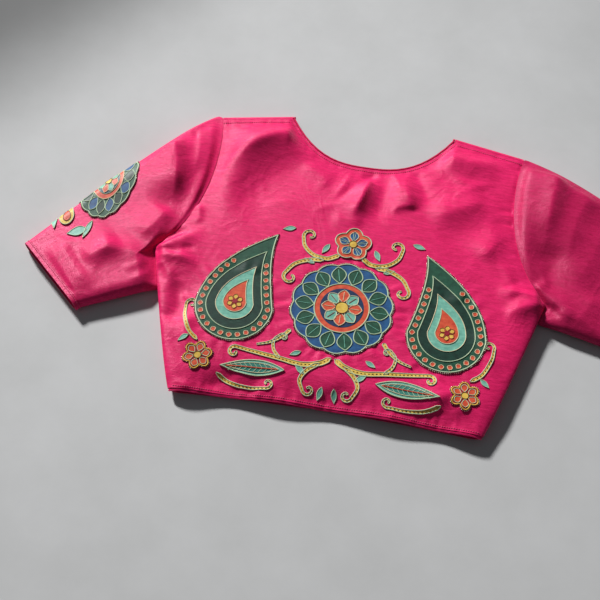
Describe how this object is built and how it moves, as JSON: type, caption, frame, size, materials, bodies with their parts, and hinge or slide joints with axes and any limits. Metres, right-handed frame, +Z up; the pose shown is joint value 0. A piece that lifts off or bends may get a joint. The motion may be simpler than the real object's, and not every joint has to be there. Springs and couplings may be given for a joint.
{
  "type": "silk blouse",
  "caption": "Cropped silk blouse with elbow sleeves and a round piped neck, laid flat back side up, with applied patches on the back and sleeves and a hooked front opening.",
  "frame": {"origin": "on the surface that the blouse lies on, under its centre line, 195 mm above the back's hem corners", "axes": "+X to the wearer's right, across the body; +Y up the body to the neck; +Z up from the surface, out of the back"},
  "size_m": [0.807, 0.3884, 0.025],
  "materials": {
    "silk": "slubbed silk with a strong sheen",
    "piping": "silk piping",
    "patch_green": "matt applied cloth",
    "patch_blue": "matt applied cloth",
    "patch_coral": "matt applied cloth",
    "patch_teal": "matt applied cloth",
    "hook": "bare steel"
  },
  "bodies": {
    "root": {"back": "silk", "front_left": "silk", "front_right": "silk", "sleeve_left": "silk", "sleeve_right": "silk", "hem_facing_back": "silk", "hem_facing_front_left": "silk", "hem_facing_front_right": "silk", "cuff_facing_left": "silk", "cuff_facing_right": "silk", "neck_piping_back": "piping", "neck_piping_front_left": "piping", "neck_piping_front_right": "piping", "hook_1": "hook", "hook_2": "hook", "hook_3": "hook", "hook_4": "hook", "hook_5": "hook", "patch_medallion": "patch_blue", "patch_lotus": "patch_coral", "patch_paisley_left": "patch_green", "patch_sleeve_left": "patch_green", "patch_flower_left": "patch_coral", "patch_leaf_left": "patch_teal", "patch_paisley_right": "patch_green", "patch_sleeve_right": "patch_green", "patch_flower_right": "patch_coral", "patch_leaf_right": "patch_teal"}
  },
  "joints": []
}
